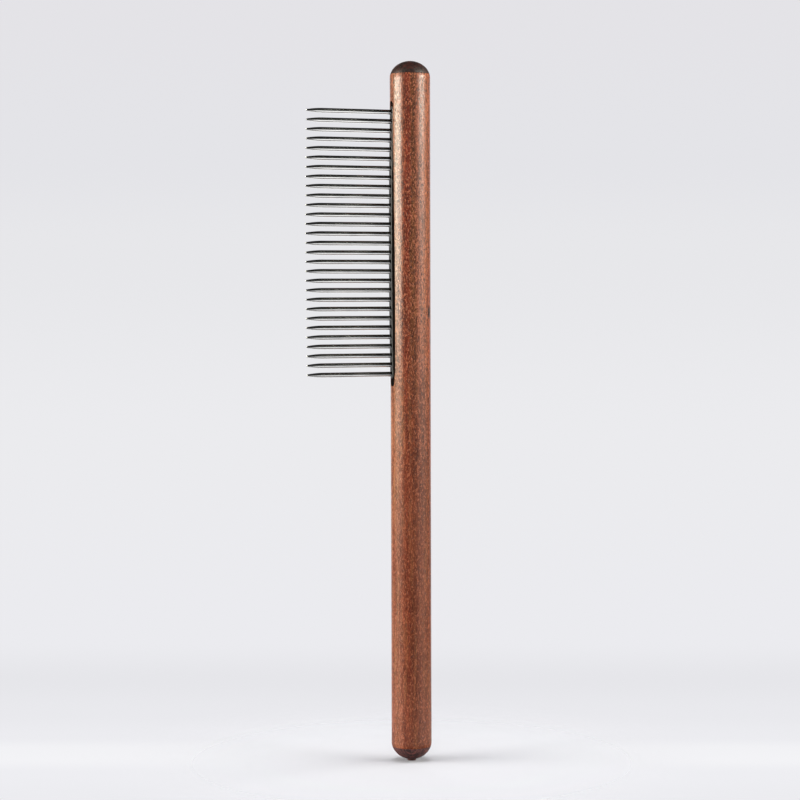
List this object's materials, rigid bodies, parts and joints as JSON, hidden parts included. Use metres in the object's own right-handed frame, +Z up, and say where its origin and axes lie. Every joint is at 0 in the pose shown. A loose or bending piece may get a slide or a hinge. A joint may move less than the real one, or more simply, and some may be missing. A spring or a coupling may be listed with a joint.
{
  "type": "pet grooming comb",
  "caption": "Grooming comb: a row of round-tipped steel teeth let into the side of a slim turned hardwood rod with dark rounded ends.",
  "frame": {"origin": "middle of the small flat on the rod's lower end", "axes": "+Z up along the rod, teeth point along -X, +Y is the side away from the usual viewer"},
  "size_m": [0.0373, 0.0114, 0.2],
  "materials": {
    "handle_wood": "clear satin lacquer over reddish-brown hardwood",
    "end_cap_wood": "dark hardwood, oiled",
    "tooth_steel": "polished",
    "bar_steel": "satin",
    "adhesive": "cured dark adhesive"
  },
  "bodies": {
    "root": {"handle": "handle_wood", "top_end_cap": "end_cap_wood", "bottom_end_cap": "end_cap_wood", "spine_bar": "bar_steel", "adhesive_bed": "adhesive", "tooth_01": "tooth_steel", "tooth_02": "tooth_steel", "tooth_03": "tooth_steel", "tooth_04": "tooth_steel", "tooth_05": "tooth_steel", "tooth_06": "tooth_steel", "tooth_07": "tooth_steel", "tooth_08": "tooth_steel", "tooth_09": "tooth_steel", "tooth_10": "tooth_steel", "tooth_11": "tooth_steel", "tooth_12": "tooth_steel", "tooth_13": "tooth_steel", "tooth_14": "tooth_steel", "tooth_15": "tooth_steel", "tooth_16": "tooth_steel", "tooth_17": "tooth_steel", "tooth_18": "tooth_steel", "tooth_19": "tooth_steel", "tooth_20": "tooth_steel", "tooth_21": "tooth_steel", "tooth_22": "tooth_steel", "tooth_23": "tooth_steel", "tooth_24": "tooth_steel", "tooth_25": "tooth_steel", "tooth_26": "tooth_steel", "tooth_27": "tooth_steel", "tooth_28": "tooth_steel", "tooth_29": "tooth_steel"}
  },
  "joints": []
}
